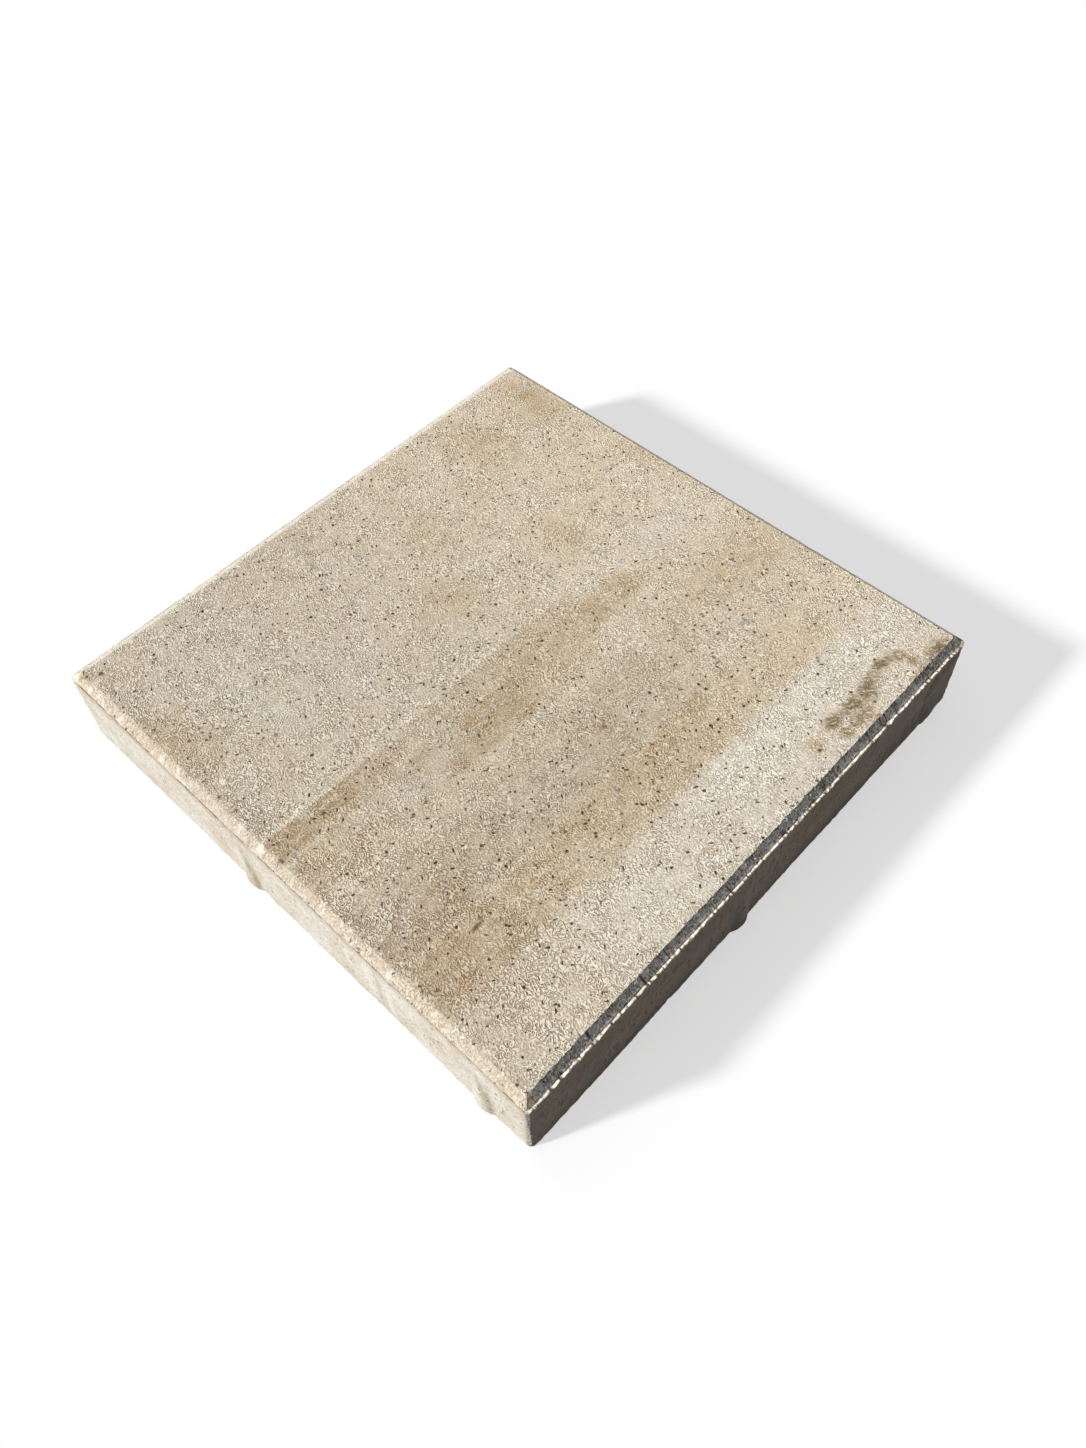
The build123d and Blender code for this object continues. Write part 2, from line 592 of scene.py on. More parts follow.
# Random values around 0.5: the places they are drawn at, their size in mm, detail and roughness.
face_patterns = (
    (in_mm, 45, 3.0, 0.5),             # broad drift
    (in_mm, 9, 4.0, 0.6),              # mottle
    (in_mm, 3.2, 2.0, 0.6),            # clumps of grains
    (in_mm, 1.3, 1.5, 0.7),            # sand, coarser than most real grains, so that it shows
    (in_mm, 5, 2.0, 0.5),              # what the curls of paste turn about
    (in_mm, 12, 1.0, 0.5),             # where those curls are strong
    (long_ways, 5, 5.0, 0.65),         # streaks along the run-off
    (rising, 1.7, 4.0, 0.75),          # patches of moss
    (across_edge(tree, in_mm, 0.45), 1.05, 4.0, 0.7),      # grains dragged down the chamfer
    (across_edge(tree, in_mm, 0.5), 5.0, 2.0, 0.5),        # clots of paste on it
    (across_edge(tree, in_mm, 0.06), 3.0, 2.0, 0.5),       # slits across it
    (in_mm, 13, 2.0, 0.5),             # dirty stretches of it
)
broad, mottle, clumps, sand, swirl, calm, streaks, mossy, drag, clots, slits, stretches = (
    add(tree, "ShaderNodeTexNoise", {
        "Vector": place, "Scale": 1 / size, "Detail": detail, "Roughness": roughness}).outputs[0]
    for place, size, detail, roughness in face_patterns)
colour = mixed_concrete(tree, broad, 0.35, 0.65, "#cec0a7", "#d3c6af", "#d7cbb8")

# The half of the face away from the camera is a little lighter, and the near left quarter is greyer.
far_share = add(tree, "ShaderNodeMapRange", {0: along_y, 1: -60.0, 2: 160.0}).outputs[0]
colour = stain(tree, colour, "#dfcfb6", 0.55, far_share, 1.0)
grey_share = band(tree, along_x, along_y, -260, -5, -260, 10, (20, 60, 120))
colour = stain(tree, colour, "#c5b9a8", 0.65, grey_share, broad)

# The run-off bands waver: their sides with the mottle, and their ends with the broad drift.
side_drift = add(tree, "ShaderNodeMath", {0: mottle, 1: 6.0, 2: -3.0}, operation="MULTIPLY_ADD").outputs[0]
end_drift = add(tree, "ShaderNodeMath", {0: broad, 1: 120.0, 2: -60.0}, operation="MULTIPLY_ADD").outputs[0]
x = add(tree, "ShaderNodeMath", {0: along_x, 1: side_drift}).outputs[0]
y = add(tree, "ShaderNodeMath", {0: along_y, 1: end_drift}).outputs[0]
patchy = add(tree, "ShaderNodeMapRange", {0: streaks, 1: 0.36, 2: 0.60, 3: 0.25}).outputs[0]

# Colour, strength, left, right, near end, far end, and softness of left edge, right edge and ends.
face_bands = (
    ("#b8a282", 0.58, -12, 38, -260, 50, (4, 14, 90)),
    ("#a98c66", 0.60, -12, 4, -260, -110, (3, 8, 60)),
    ("#ab926c", 0.62, 9, 37, -97, -26, (9, 6, 20)),
    ("#b2986f", 0.62, 1, 24, 42, 104, (10, 12, 34)),
    ("#b69d79", 0.16, 0, 26, -30, 50, (12, 14, 40)),
    ("#bba27c", 0.60, 101, 137, -260, 34, (3, 20, 70)),
    ("#b3966f", 0.35, 101, 118, -110, 40, (3, 14, 40)),
    ("#a58a66", 0.45, 101, 137, -260, -130, (3, 10, 60)),
    ("#c4ae8c", 0.40, 98, 136, 20, 150, (12, 16, 70)),
    ("#b3a188", 0.54, 50, 101, -260, 60, (18, 3, 80)),
    ("#a89479", 0.22, 66, 99, -140, -4, (12, 3, 40)),
    ("#b9a88e", 0.24, 40, 101, 84, 260, (20, 8, 40)),
    ("#a18a6a", 0.50, 76, 101, -260, -135, (12, 3, 40)),
    ("#eae5da", 0.86, 142, 164, 10, 190, (16, 30, 60)),
    ("#e3dacb", 0.70, 141, 196, -135, 260, (18, 8, 110)),
    ("#dbcfbc", 0.30, 141, 196, -260, 260, (12, 6, 60)),
    ("#c6b79f", 0.50, 141, 160, -260, -138, (10, 14, 30)),
    ("#ddd3c0", 0.70, -15.5, -12.5, -260, 120, (2, 1.5, 60)),
    ("#ddd3c0", 0.50, 100, 102, -260, -90, (2, 1.5, 30)),
)
for hex_colour, strength, left, right, near, far, softness in face_bands:
    mask = band(tree, x, y, left, right, near, far, softness)
    colour = stain(tree, colour, hex_colour, strength, mask, patchy)

# The face is dirtier along the near smeared chamfer. Both smeared chamfers are rich in paste and paler.
margin = add(tree, "ShaderNodeMapRange", {0: along_y, 1: -180.0, 2: -189.0}).outputs[0]
colour = stain(tree, colour, "#a39277", 0.35, margin, patchy)
lower = add(tree, "ShaderNodeMath", {0: along_x, 1: along_y}, operation="MINIMUM").outputs[0]
smeared = add(tree, "ShaderNodeMapRange", {0: lower, 1: -190.6, 2: -193.0}).outputs[0]
colour = stain(tree, colour, "#c6baa9", 0.9, smeared, 1.0)

# Fine structure: mottle, sand grains, and the curly marks of paste smeared between them, which come
# and go in patches and are a little stronger near the camera.
turns = add(tree, "ShaderNodeMath", {0: swirl, 1: 44.0}, operation="MULTIPLY").outputs[0]
curls = add(tree, "ShaderNodeMath", {0: turns}, operation="SINE").outputs[0]
lively = add(tree, "ShaderNodeMapRange", {0: calm, 1: 0.35, 2: 0.62, 3: 0.13, 4: 0.34}).outputs[0]
nearer = add(tree, "ShaderNodeMapRange", {0: along_y, 1: -60.0, 2: -190.0, 3: 1.0, 4: 1.18}).outputs[0]
lively = add(tree, "ShaderNodeMath", {0: lively, 1: nearer}, operation="MULTIPLY").outputs[0]
curls = add(tree, "ShaderNodeMath", {0: curls, 1: lively, 2: 0.5}, operation="MULTIPLY_ADD").outputs[0]
colour = scaled(tree, colour, mottle, 0.92, 1.08)
colour = scaled(tree, colour, clumps, 0.955, 1.055)
colour = scaled(tree, colour, sand, 0.77, 1.22)
colour = scaled(tree, colour, curls, 0.79, 1.22)
colour = stain(tree, colour, "#bfb098", 0.38, smeared, 1.0)

# The smear on the far left side shows as a bright line, partly pale paste and partly a painted highlight on
# its rounded edge, with a thin brown one outside it. The outer edges of both smears carry a faint painted
# highlight.
far_line = add(tree, "ShaderNodeMapRange", {0: along_x, 1: -190.4, 2: -191.4}).outputs[0]
colour = stain(tree, colour, "#f8efdf", 0.70, far_line, 1.0)
far_seam = add(tree, "ShaderNodeMapRange", {0: along_x, 1: -196.0, 2: -197.2}).outputs[0]
colour = stain(tree, colour, "#8a7355", 0.60, far_seam, 1.0)
smear_edge_highlight = add(tree, "ShaderNodeMapRange", {0: lower, 1: -194.8, 2: -197.2}).outputs[0]
colour = stain(tree, colour, "#dccfb9", 0.20, smear_edge_highlight, 1.0)

# Pinholes and short slits between the grains, and pale grains that stand out.
holes = None
for place, spacing, radius, share, seed in (
        (rising, 2.6, 0.72, 0.36, 5), (falling, 2.6, 0.72, 0.36, 19), (ragged, 6.2, 1.35, 0.32, 77)):
    found = speckle(tree, place, spacing, radius, share, seed)
    holes = found if holes is None else add(
        tree, "ShaderNodeMath", {0: holes, 1: found}, operation="MAXIMUM").outputs[0]
colour = stain(tree, colour, "#2e2216", 1.0, holes, 0.95)
for place, seed in ((rising, 31), (falling, 53)):
    light_grains = speckle(tree, place, 3.4, 0.85, 0.28, seed)
    colour = stain(tree, colour, "#fff8e8", 0.78, light_grains, patchy)

# Moss dust, rust, pits and white grains that sit at one place. Each group is a colour, a strength, the
# share of a spot that is at full strength, the outline, what breaks it up, and spots given by x, y and
# their two radii in mm.
blurred = wobble(tree, wobble(tree, in_mm, 5, 4.0), 1.5, 1.6)
wandering = wobble(tree, in_mm, 22, 14)
moss_patches = add(tree, "ShaderNodeMapRange", {0: mossy, 1: 0.40, 2: 0.52, 3: 0.16}).outputs[0]
face_marks = (
    ("#b99d72", 0.55, 0.0, wandering, patchy, (
        (-155, 176, 48, 32), (-60, 188, 28, 12), (-50, 94, 34, 24), (-103, -182, 44, 24), (54, 150, 28, 66),
        (-110, 40, 40, 26), (-60, 0, 40, 30))),
    ("#b39562", 0.36, 0.2, wandering, 1.0, ((-156, 178, 36, 26), (-150, 120, 40, 30))),
    ("#e0d8ca", 0.75, 0.0, wandering, patchy, ((-3, 145, 18, 54), (22, -98, 16, 52), (-80, -130, 38, 15))),
    ("#957d55", 0.92, 0.35, blurred, moss_patches, (
        (189, 176, 7, 18), (183, 160, 7, 4.5), (175, 157, 6, 7), (171, 145, 6, 14), (172, 130, 6, 12),
        (177, 121, 9, 11), (176, 109, 8, 12), (174, 92, 6, 14), (184, 104, 7, 14), (184, 89, 6, 7),
        (192, 158, 4, 16))),
    ("#6d5833", 0.76, 0.20, blurred, moss_patches, (
        (190, 178, 5, 11), (171, 145, 4, 11), (175, 123, 6, 8), (175, 107, 6, 9), (173.5, 90, 5, 8))),
    ("#b58434", 0.82, 0.05, blurred, patchy, (
        (176.5, 69, 8.5, 8), (191, 110, 4, 5), (-188.5, -192.8, 5, 3.5))),
    ("#74491c", 1.00, 0.5, ragged, 1.0, (
        (179.8, 68, 1.8, 1.8), (120, -61, 1.4, 1.4), (-187, -192, 1.6, 1.6))),
    ("#97825f", 0.75, 0.2, blurred, patchy, ((76, -4, 5, 5), (-119, 18, 4, 4), (-188, -192, 8, 6))),
    ("#5d4931", 0.95, 0.4, ragged, patchy, (
        (-181.6, -184.5, 2.6, 2.4), (-164.4, -187, 1.6, 1.6), (-42, -188.2, 1.8, 2.2), (2.3, -192.6, 2, 3),
        (-30, -180, 1.8, 1.8), (-166, -155, 1.6, 1.6), (-103, -168, 1.6, 2), (-99, -169, 1.4, 1.4),
        (-120.6, -165, 1.5, 1.5), (-89, -144, 1.7, 1.5), (-65, -140, 1.8, 1.8), (-68.7, -146.5, 1.5, 1.3),
        (-76.7, -171.6, 1.6, 1.2), (-76.9, -167.7, 1.4, 1.4), (-55.6, -189.6, 1.8, 1.5),
        (-173.6, -161.4, 1.6, 1.2),
        (111, -145, 1.8, 6), (109, -141, 3, 2), (92, 80, 2.6, 1.2), (96, 79, 1.4, 3), (89, 82, 1.2, 1.6),
        (105.6, -50, 1.7, 1.4), (107, -72, 1.3, 1.8), (102.5, -77, 1.2, 1.2), (135, -102, 1.5, 1.5),
        (135, -125, 1.2, 2.6), (124, -174, 1.6, 1.6), (121, -185, 1.5, 2), (30, -122, 1.4, 1.2),
        (93, -157, 1.3, 1.3), (3.6, -192, 2.2, 2.0), (-7, -186, 1.5, 1.5), (9, -41, 1.6, 1.3), (76, -4, 2, 2),
        (171, 147, 1.4, 1.4))),
    ("#f8efdc", 1.00, 0.5, ragged, patchy, (
        (-62.2, -181.9, 3, 2.4), (-32.4, -168.5, 2, 2), (-12.5, -194.6, 4, 3), (-164.9, -184.3, 2, 1.8),
        (-133, 31.7, 2.0, 1.7), (-112, 27, 1.6, 1.2), (7, -39, 1.7, 1.7), (111, 11, 2.2, 1.6),
        (100, -28, 1.5, 1.5),
        (132, -109, 1.6, 1.4), (72.6, -116, 1.5, 1.4), (39, -45, 1.4, 1.4), (50, -173, 1.5, 1.5),
        (139, -163, 1.5, 1.5), (46, -158, 1.4, 1.4), (44, -127, 1.4, 1.4), (167, 99, 2.4, 2.4),
        (190, 143, 2, 3))),
)
for hex_colour, strength, core, outline, broken, where in face_marks:
    places = [((at_x, at_y, 65), (radius_x, radius_y, 9)) for at_x, at_y, radius_x, radius_y in where]
    colour = stain(tree, colour, hex_colour, strength, spots(tree, outline, places, core), broken)

# The chamfer's rough slope, with the grooves that the head's rim dragged down it.
slope = add(tree, "ShaderNodeMapRange", {0: height, 1: 64.7, 2: 64.0}).outputs[0]
covered = add(tree, "ShaderNodeMapRange", {0: lower, 1: -186.0, 2: -191.4}).outputs[0]
far_side = add(tree, "ShaderNodeMapRange", {0: along_y, 1: 190.0, 2: 192.0, 4: 0.85}).outputs[0]
covered = add(tree, "ShaderNodeMath", {0: covered, 1: far_side}, operation="MAXIMUM").outputs[0]
slope = add(tree, "ShaderNodeMath", {0: slope, 1: covered}, operation="SUBTRACT", use_clamp=True).outputs[0]
grooves = add(tree, "ShaderNodeMath", {0: drag, 1: slope}, operation="MULTIPLY").outputs[0]
open_grain, closed_grain, smears, bald, rubbed, dirty, slits, groove_dirt_and_shade, seam = (
    add(tree, "ShaderNodeMapRange", {0: value, 1: none, 2: full}).outputs[0] for value, none, full in (
        (drag, 0.54, 0.61), (drag, 0.50, 0.43), (clots, 0.40, 0.60), (clots, 0.46, 0.36),
        (clots, 0.40, 0.32), (stretches, 0.54, 0.64), (slits, 0.64, 0.67), (height, 59.9, 59.3),
        (lower, -197.8, -198.1)))
# On the rough slope the open grains are painted near black and the closed ones white: partly the grains' own
# colours, partly painted shade and painted glints of grains in grazing light.
for hex_colour, strength, broken in (
        ("#e0ddd8", 0.90, patchy), ("#a39c92", 0.40, smears), ("#6b6056", 0.70, dirty),
        ("#f8f5ee", 0.75, bald), ("#2f2b27", 0.76, open_grain), ("#ffffff", 0.95, closed_grain),
        ("#3a3026", 0.90, slits)):
    colour = stain(tree, colour, hex_colour, strength, slope, broken)
brown_grain = add(tree, "ShaderNodeMath", {0: smears, 1: open_grain}, operation="MULTIPLY").outputs[0]
colour = stain(tree, colour, "#a8875a", 0.60, smeared, brown_grain)
colour = stain(tree, colour, "#efe6d6", 0.35, smeared, closed_grain)
colour = stain(tree, colour, "#fdf8ee", 0.45, smeared, rubbed)
# The groove at the foot of the chamfer is darkened, partly dirt and partly painted shade in the groove. The
# crack beside the smears is darkened with it.
groove_dirt_and_shade = add(tree, "ShaderNodeMath", {0: groove_dirt_and_shade, 1: seam}, operation="MAXIMUM").outputs[0]
broken = add(tree, "ShaderNodeMapRange", {0: mottle, 1: 0.46, 2: 0.54, 3: 0.18}).outputs[0]
colour = stain(tree, colour, "#634a31", 0.90, groove_dirt_and_shade, broken)

# Relief that is too fine for the mesh, in mm. It is weaker where paste was smeared over it.
relief = add(tree, "ShaderNodeMath", {0: sand, 1: 0.40}, operation="MULTIPLY").outputs[0]
relief = add(tree, "ShaderNodeMath", {0: curls, 1: 0.45, 2: relief}, operation="MULTIPLY_ADD").outputs[0]
relief = add(tree, "ShaderNodeMath", {0: holes, 1: -0.5, 2: relief}, operation="MULTIPLY_ADD").outputs[0]
relief = add(tree, "ShaderNodeMath", {0: grooves, 1: 3.0, 2: relief}, operation="MULTIPLY_ADD").outputs[0]
calmer = add(tree, "ShaderNodeMath", {0: smeared, 1: -0.3, 2: 1.0}, operation="MULTIPLY_ADD").outputs[0]
bump = add(tree, "ShaderNodeBump", {"Height": relief, "Distance": 1 * mm, "Strength": calmer}).outputs[0]
shader = add(tree, "ShaderNodeBsdfPrincipled", {"Base Color": colour, "Roughness": 0.9, "Normal": bump})
add(tree, "ShaderNodeOutputMaterial", {0: shader.outputs[0]})
slab_mesh.materials.append(face_concrete)


# Mould skin concrete
# The sides slid out of a steel mould: a smoother, paler skin of cement with open pits and dry crumbs.
# The fin at the top of the skin is nearly pure cement paste, the palest part of the slab.

skin_concrete, tree, in_mm = new_material("mould_skin_concrete")
along_x, along_y, height = add(tree, "ShaderNodeSeparateXYZ", {0: in_mm}).outputs

# Random values around 0.5: the places they are drawn at, their size in mm, detail and roughness.
skin_patterns = (
    (in_mm, 26, 4.0, 0.5),             # broad drift
    (in_mm, 6, 4.0, 0.6),              # mottle
    (in_mm, 1.5, 4.0, 0.7),            # sand, coarser than most real grains, so that it shows
    (in_mm, 1.6, 3.0, 0.7),            # crumbs of the corners
    (across_edge(tree, in_mm, 0.22), 3.5, 4.0, 0.6),       # streaks down the side
    (across_edge(tree, in_mm, 0.25), 2.4, 3.0, 0.6),       # gaps in the fin
    (across_edge(tree, in_mm, 0.06), 3.0, 2.0, 0.5),       # slits across it
)
broad, mottle, sand, crumbs, streaks, gaps, slits = (
    add(tree, "ShaderNodeTexNoise", {
        "Vector": place, "Scale": 1 / size, "Detail": detail, "Roughness": roughness}).outputs[0]
    for place, size, detail, roughness in skin_patterns)
colour = mixed_concrete(tree, broad, 0.35, 0.65, "#d6cab7", "#dcd4c5", "#e2dcd0")
# The side away from the lamp (+X) is weathered, with grey and brown streaks and dark specks. Its colour is
# darkened all over, partly weathering and partly painted shade.
weathered_shaded_side = add(tree, "ShaderNodeMapRange", {0: along_x, 1: 195.0, 2: 197.0}).outputs[0]
colour = stain(tree, colour, "#c4b3a1", 0.85, weathered_shaded_side, 1.0)
colour = scaled(tree, colour, mottle, 0.91, 1.09)
colour = scaled(tree, colour, sand, 0.72, 1.28)
ragged = wobble(tree, in_mm, 1.8, 0.8)
blurred = wobble(tree, in_mm, 7, 4.0)
patchy = add(tree, "ShaderNodeMapRange", {0: mottle, 1: 0.34, 2: 0.60, 3: 0.3}).outputs[0]
dry = add(tree, "ShaderNodeMapRange", {0: streaks, 1: 0.46, 2: 0.36}).outputs[0]
damp = add(tree, "ShaderNodeMapRange", {0: streaks, 1: 0.54, 2: 0.64}).outputs[0]
colour = stain(tree, colour, "#b3b1aa", 0.75, weathered_shaded_side, dry)
colour = stain(tree, colour, "#7d6853", 0.80, weathered_shaded_side, damp)
# Painted shade: the shaded side is darkened towards the bed.
shade_near_bed = add(tree, "ShaderNodeMapRange", {0: height, 1: 24.0, 2: 3.0}).outputs[0]
colour = stain(tree, colour, "#60574e", 0.55, weathered_shaded_side, shade_near_bed)
colour = scaled(tree, colour, streaks, 0.95, 1.05)
pits = speckle(tree, ragged, 5.0, 1.1, 0.5, 17)
colour = stain(tree, colour, "#6f573f", 0.95, pits, patchy)
dots = speckle(tree, ragged, 9.0, 1.35, 0.5, 61)
colour = stain(tree, colour, "#5c4228", 0.95, dots, 1.0)
foot = add(tree, "ShaderNodeMapRange", {0: height, 1: 2.2, 2: 0.8}).outputs[0]
crumbled = add(tree, "ShaderNodeMapRange", {0: streaks, 1: 0.50, 2: 0.60}).outputs[0]
colour = stain(tree, colour, "#5f4c38", 0.85, foot, crumbled)
specks = speckle(tree, across_edge(tree, ragged, 0.5), 8.0, 1.5, 0.4, 97)
colour = stain(tree, colour, "#3a3027", 0.85, weathered_shaded_side, specks)
streaked = speckle(tree, across_edge(tree, ragged, 0.3), 5.5, 0.9, 0.35, 29)
colour = stain(tree, colour, "#4f4030", 0.80, streaked, patchy)

# Marks on the two sides that face the camera, as a colour, a strength, the outline, and spots given by
# their centre and three radii in mm: rubbed patches, painted shade on the nibs, dark patches below the fin,
# painted shade along the foot of the shaded side, and a broken hairline.
skin_marks = (
    ("#efebe2", 0.80, blurred, (
        ((77, -200, 32), (4, 8, 36)), ((93, -200, 32), (3.5, 8, 36)), ((-175, -200, 11), (6, 8, 9)),
        ((60, -200, 40), (3, 8, 16)))),
    ("#b9ae9c", 0.60, blurred, (((85, -200, 30), (4, 8, 34)), ((-26, -200, 30), (4, 8, 22)))),
    # Painted shade on the nibs: tan on the nib near the middle, and grey-green down the flanks of both nibs
    # that face away from the lamp.
    ("#c2a883", 0.40, blurred, (((-38, -200, 44), (8, 8, 9)), ((-34, -200, 14), (5, 8, 10)))),
    ("#9a9079", 0.62, ragged, (
        ((-33.5, -200, 44), (2.2, 8, 10)), ((-31, -200, 28), (2.8, 8, 14)), ((-27.5, -200, 10), (3.4, 8, 14)),
        ((161.5, -200, 39), (2.6, 8, 10)), ((164, -200, 32), (3.0, 8, 10)), ((166.5, -200, 24), (3.3, 8, 11)),
        ((169, -200, 14), (3.6, 8, 13)), ((170.5, -200, 5), (3.6, 8, 9)))),
    ("#6b5641", 0.85, blurred, (
        ((200, 170, 51), (8, 5, 6)), ((200, 164, 30), (8, 3, 20)), ((200, 63, 56), (8, 8, 3)),
        ((200, 99, 55), (8, 11, 3)))),
    ("#8f7660", 0.50, blurred, (
        ((200, -60, 45), (8, 60, 12)), ((200, -150, 44), (8, 40, 16)), ((200, 60, 44), (8, 50, 14)))),
    ("#a7a49b", 0.70, blurred, (
        ((200, -196, 30), (8, 12, 40)), ((200, -150, 30), (8, 10, 12)), ((200, -30, 22), (8, 9, 24)),
        ((200, 130, 36), (8, 34, 22)), ((200, 180, 26), (8, 14, 30)))),
    # Painted shade along the foot of the shaded side, and two dark patches near its far end.
    ("#5d564e", 0.75, blurred, (
        ((200, -100, 2), (8, 110, 12)), ((200, 150, 14), (8, 40, 18)), ((200, 90, 2), (8, 130, 12)),
        ((200, 168, 44), (8, 12, 12)), ((200, 184, 50), (8, 12, 9)))),
    ("#45392d", 0.90, ragged, (
        ((200, -115.5, 31.5), (4, 8, 0.9)), ((200, -90.5, 32.5), (4, 10, 0.9)),
        ((200, -68.5, 35), (4, 8, 0.9)), ((200, -47, 34), (4, 11, 1.0)), ((200, -96, 42), (4, 0.9, 4)),
        ((200, -22, 23), (4, 1.6, 1.8)), ((200, 20, 50), (4, 2, 1.3)), ((200, 27, 50), (4, 1.6, 1.6)),
        ((200, 67, 37), (4, 1.4, 1.4)),
        ((200, 141, 47), (4, 1.8, 1.5)), ((-12, -200, 17), (1.3, 4, 2.2)), ((62, -200, 34), (1.1, 4, 2.4)),
        ((163, -200, 27), (1.1, 4, 2)), ((128, -200, 28), (1, 4, 1.6)))),
)
for hex_colour, strength, outline, where in skin_marks:
    colour = stain(tree, colour, hex_colour, strength, spots(tree, outline, where), patchy)

# The standing fin, with gaps and slits on the sides near the camera, and the crack beside the smears.
fin = add(tree, "ShaderNodeMapRange", {0: height, 1: 58.3, 2: 59.1}).outputs[0]
lower = add(tree, "ShaderNodeMath", {0: along_x, 1: along_y}, operation="MINIMUM").outputs[0]
smeared = add(tree, "ShaderNodeMapRange", {0: lower, 1: -197.0, 2: -197.8}).outputs[0]
standing = add(tree, "ShaderNodeMath", {0: fin, 1: smeared}, operation="SUBTRACT", use_clamp=True).outputs[0]
colour = stain(tree, colour, "#fdf3e2", 0.97, standing, 1.0)
# Where the fin has broken away its gaps are painted dark brown: painted shade in the breaks.
gaps = add(tree, "ShaderNodeMapRange", {0: gaps, 1: 0.55, 2: 0.61}).outputs[0]
near_side = add(tree, "ShaderNodeMapRange", {0: along_y, 1: 197.4, 2: 197.0}).outputs[0]
gaps = add(tree, "ShaderNodeMath", {0: gaps, 1: near_side}, operation="MULTIPLY").outputs[0]
colour = stain(tree, colour, "#4b3a28", 0.95, standing, gaps)
worn_tip = spots(tree, in_mm, (((197, 198, 60), (9, 14, 6)),))
colour = stain(tree, colour, "#7a6a56", 0.85, worn_tip, standing)
slits = add(tree, "ShaderNodeMapRange", {0: slits, 1: 0.64, 2: 0.67}).outputs[0]
slits = add(tree, "ShaderNodeMath", {0: slits, 1: near_side}, operation="MULTIPLY").outputs[0]
colour = stain(tree, colour, "#3a3026", 0.90, standing, slits)
seam = add(tree, "ShaderNodeMapRange", {0: height, 1: 59.1, 2: 59.5}).outputs[0]
seam = add(tree, "ShaderNodeMath", {0: seam, 1: smeared}, operation="MULTIPLY").outputs[0]
broken = add(tree, "ShaderNodeMapRange", {0: mottle, 1: 0.46, 2: 0.54, 3: 0.18}).outputs[0]
colour = stain(tree, colour, "#634a31", 0.9, seam, broken)
below = add(tree, "ShaderNodeMapRange", {0: height, 1: 50.0, 2: 59.0}).outputs[0]
below = add(tree, "ShaderNodeMath", {0: below, 1: smeared}, operation="MULTIPLY").outputs[0]
colour = stain(tree, colour, "#a58b67", 0.60, below, patchy)

# The upright corners have lost their skin in places.
far_x, far_y = (
    add(tree, "ShaderNodeMath", {0: part}, operation="ABSOLUTE").outputs[0] for part in (along_x, along_y))
lesser = add(tree, "ShaderNodeMath", {0: far_x, 1: far_y}, operation="MINIMUM").outputs[0]
corner = add(tree, "ShaderNodeMapRange", {0: lesser, 1: 195.5, 2: 197.5}).outputs[0]
bare = add(tree, "ShaderNodeMapRange", {0: crumbs, 1: 0.54, 2: 0.60}).outputs[0]
pale = add(tree, "ShaderNodeMapRange", {0: crumbs, 1: 0.49, 2: 0.43}).outputs[0]
colour = stain(tree, colour, "#5b4d3e", 0.6, corner, bare)
colour = stain(tree, colour, "#f3ebdc", 0.9, corner, pale)

relief = add(tree, "ShaderNodeMath", {0: sand, 1: 0.30}, operation="MULTIPLY").outputs[0]
relief = add(tree, "ShaderNodeMath", {0: pits, 1: -0.7, 2: relief}, operation="MULTIPLY_ADD").outputs[0]
bump = add(tree, "ShaderNodeBump", {"Height": relief, "Distance": 1 * mm, "Strength": 0.9}).outputs[0]
shader = add(tree, "ShaderNodeBsdfPrincipled", {"Base Color": colour, "Roughness": 0.88, "Normal": bump})
add(tree, "ShaderNodeOutputMaterial", {0: shader.outputs[0]})
slab_mesh.materials.append(skin_concrete)


# Bed face concrete
# The lowest concrete, which was pressed on the pallet: matt, grey-beige and coarse, because little fine
# paste reached it, with gaps between the stones.

bed_concrete, tree, in_mm = new_material("bed_face_concrete")
inputs = {"Vector": in_mm, "Scale": 1 / 2.5, "Detail": 5.0, "Roughness": 0.7}
sand = add(tree, "ShaderNodeTexNoise", inputs).outputs[0]
stones = add(tree, "ShaderNodeTexVoronoi", {"Vector": in_mm, "Scale": 1 / 5.5}).outputs["Distance"]
colour = mixed_concrete(tree, sand, 0.3, 0.7, "#a39782", "#b9ad98", "#c9bfab")
gaps = speckle(tree, wobble(tree, in_mm, 3, 1.2), 8.0, 2.6, 0.5, 43)
colour = stain(tree, colour, "#6a5c4a", 0.9, gaps, sand)
relief = add(tree, "ShaderNodeMath", {0: gaps, 1: -1.5, 2: stones}, operation="MULTIPLY_ADD").outputs[0]
bump = add(tree, "ShaderNodeBump", {"Height": relief, "Distance": 1 * mm, "Strength": 0.8}).outputs[0]
shader = add(tree, "ShaderNodeBsdfPrincipled", {"Base Color": colour, "Roughness": 0.95, "Normal": bump})
add(tree, "ShaderNodeOutputMaterial", {0: shader.outputs[0]})
slab_mesh.materials.append(bed_concrete)


# Floor
# A plain pale studio floor. The camera sees it nearly white with the slab's shadow on it, while the
# light that it throws back on the slab is as weak as from bare ground.

floor_size = 12.0
floor_mesh = bpy.data.meshes.new("studio_floor")
ground = bmesh.new()
bmesh.ops.create_grid(ground, x_segments=1, y_segments=1, size=floor_size / 2)
ground.to_mesh(floor_mesh)
ground.free()
floor = bpy.data.objects.new("studio_floor", floor_mesh)
bpy.context.scene.collection.objects.link(floor)


def seen_rays(tree):
    """1 where the camera looks, also by a mirror or through glass, and 0 for light on its way."""
    rays = add(tree, "ShaderNodeLightPath").outputs
    inputs = {0: rays["Is Camera Ray"], 1: rays["Is Glossy Ray"]}
    seen = add(tree, "ShaderNodeMath", inputs, operation="MAXIMUM").outputs[0]
    inputs = {0: seen, 1: rays["Is Transmission Ray"]}
    return add(tree, "ShaderNodeMath", inputs, operation="MAXIMUM").outputs[0]


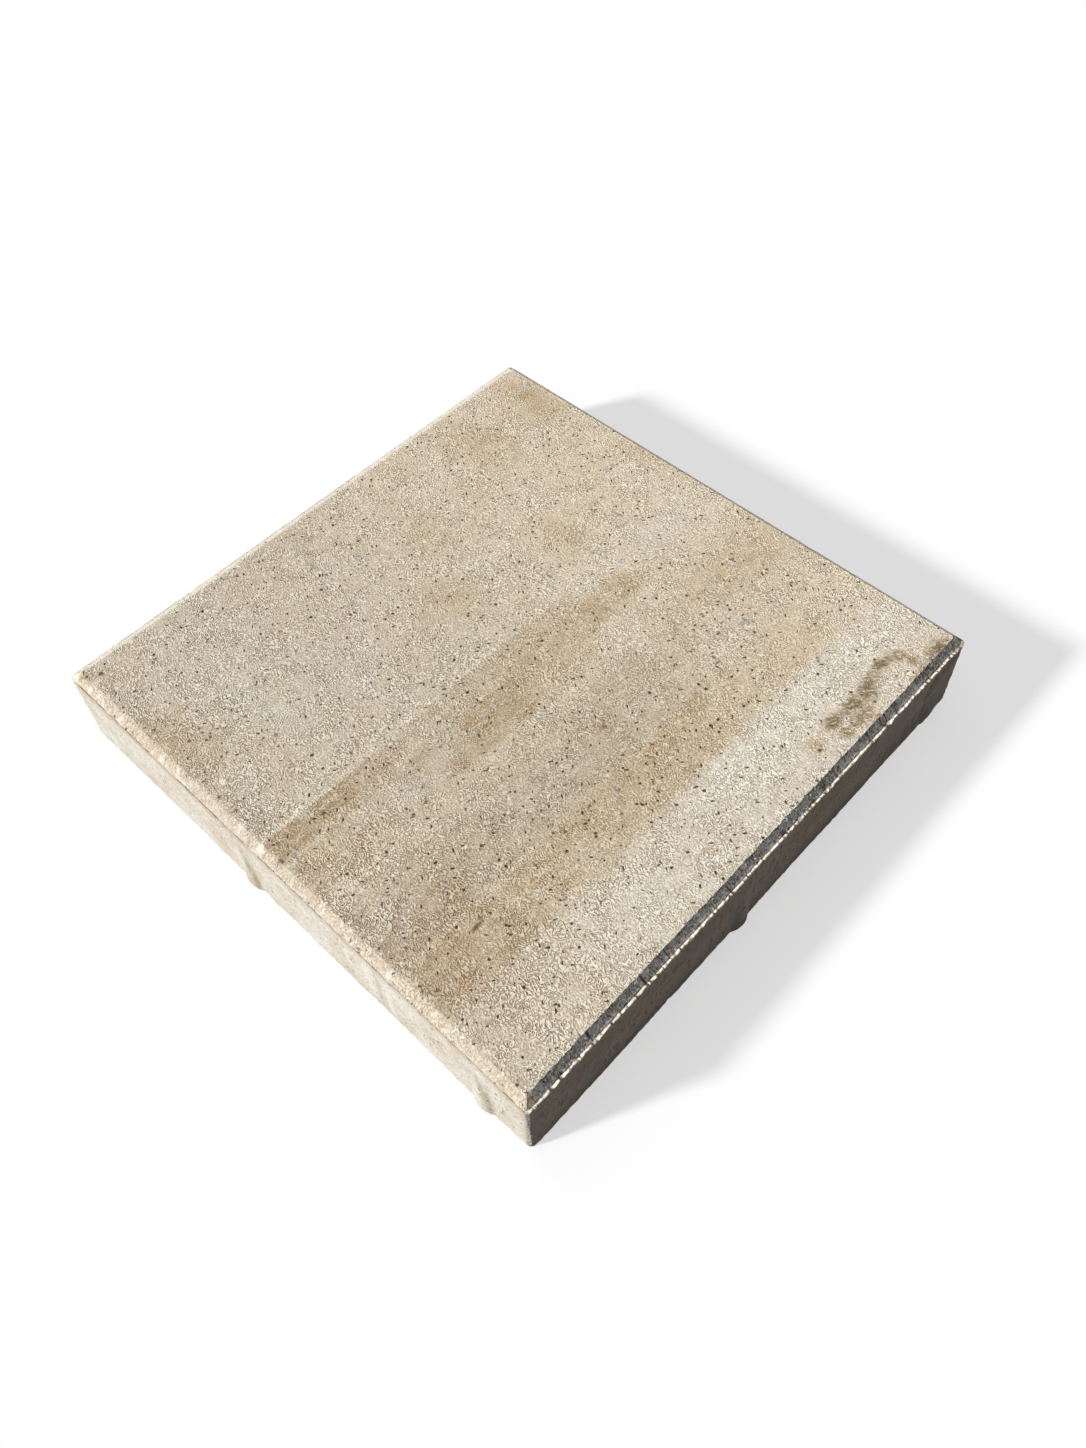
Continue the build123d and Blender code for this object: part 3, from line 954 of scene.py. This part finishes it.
floor_paint = bpy.data.materials.new("pale_matt_floor")
floor_paint.use_nodes = True
tree = floor_paint.node_tree
tree.nodes.clear()
bare_ground = add(tree, "ShaderNodeBsdfDiffuse", {"Color": tone("#3c3a38")})
paint = add(tree, "ShaderNodeBsdfDiffuse", {"Color": tone("#b4b4b4")})
glow = add(tree, "ShaderNodeEmission", {"Color": tone("#ffffff"), "Strength": 0.55})
both = add(tree, "ShaderNodeAddShader", {0: paint.outputs[0], 1: glow.outputs[0]})
inputs = {0: seen_rays(tree), 1: bare_ground.outputs[0], 2: both.outputs[0]}
mix = add(tree, "ShaderNodeMixShader", inputs)
add(tree, "ShaderNodeOutputMaterial", {0: mix.outputs[0]})
floor_mesh.materials.append(floor_paint)


# Light
# One lamp, low on the camera's left, whose broad disc gives shadows a soft edge, and a pale surround
# that is brighter overhead. Together they light the concrete at a plain level.

lamp_direction = Vector((-0.395, -0.785, 0.48))
lamp_data = bpy.data.lights.new("key_lamp", "SUN")
lamp_data.energy = 3.95
lamp_data.angle = math.radians(6)
lamp = bpy.data.objects.new("key_lamp", lamp_data)
lamp.rotation_euler = lamp_direction.to_track_quat("Z", "Y").to_euler()
bpy.context.scene.collection.objects.link(lamp)

surround = bpy.data.worlds.new("pale_surround")
surround.use_nodes = True
tree = surround.node_tree
tree.nodes.clear()
direction = add(tree, "ShaderNodeSeparateXYZ", {0: add(tree, "ShaderNodeTexCoord").outputs["Generated"]})
overhead = add(tree, "ShaderNodeMath", {0: direction.outputs[2], 1: 4.0}, operation="POWER").outputs[0]
overhead = add(tree, "ShaderNodeMath", {0: overhead, 1: 1.10}, operation="MULTIPLY").outputs[0]
strength = add(tree, "ShaderNodeMapRange", {0: seen_rays(tree), 3: overhead, 4: 1.0}).outputs[0]
back = add(tree, "ShaderNodeBackground", {"Color": tone("#ffffff"), "Strength": strength})
add(tree, "ShaderNodeOutputWorld", {0: back.outputs[0]})
bpy.context.scene.world = surround


# Camera
# A phone held over the near corner of the slab, looking down at it. Place, turn and lens are those that
# bring the slab's edges onto the edges in the photograph.

camera_data = bpy.data.cameras.new("camera")
camera_data.sensor_fit = "VERTICAL"
camera_data.sensor_height = 36.0
camera_data.lens = 28.66
camera_data.clip_start = 0.01
camera = bpy.data.objects.new("camera", camera_data)
camera.location = (0.3224, -0.2970, 0.6339)
camera.rotation_euler = [math.radians(angle) for angle in (34.059, 1.511, 43.264)]
bpy.context.scene.collection.objects.link(camera)
bpy.context.scene.camera = camera
bpy.context.scene.view_settings.view_transform = "Standard"
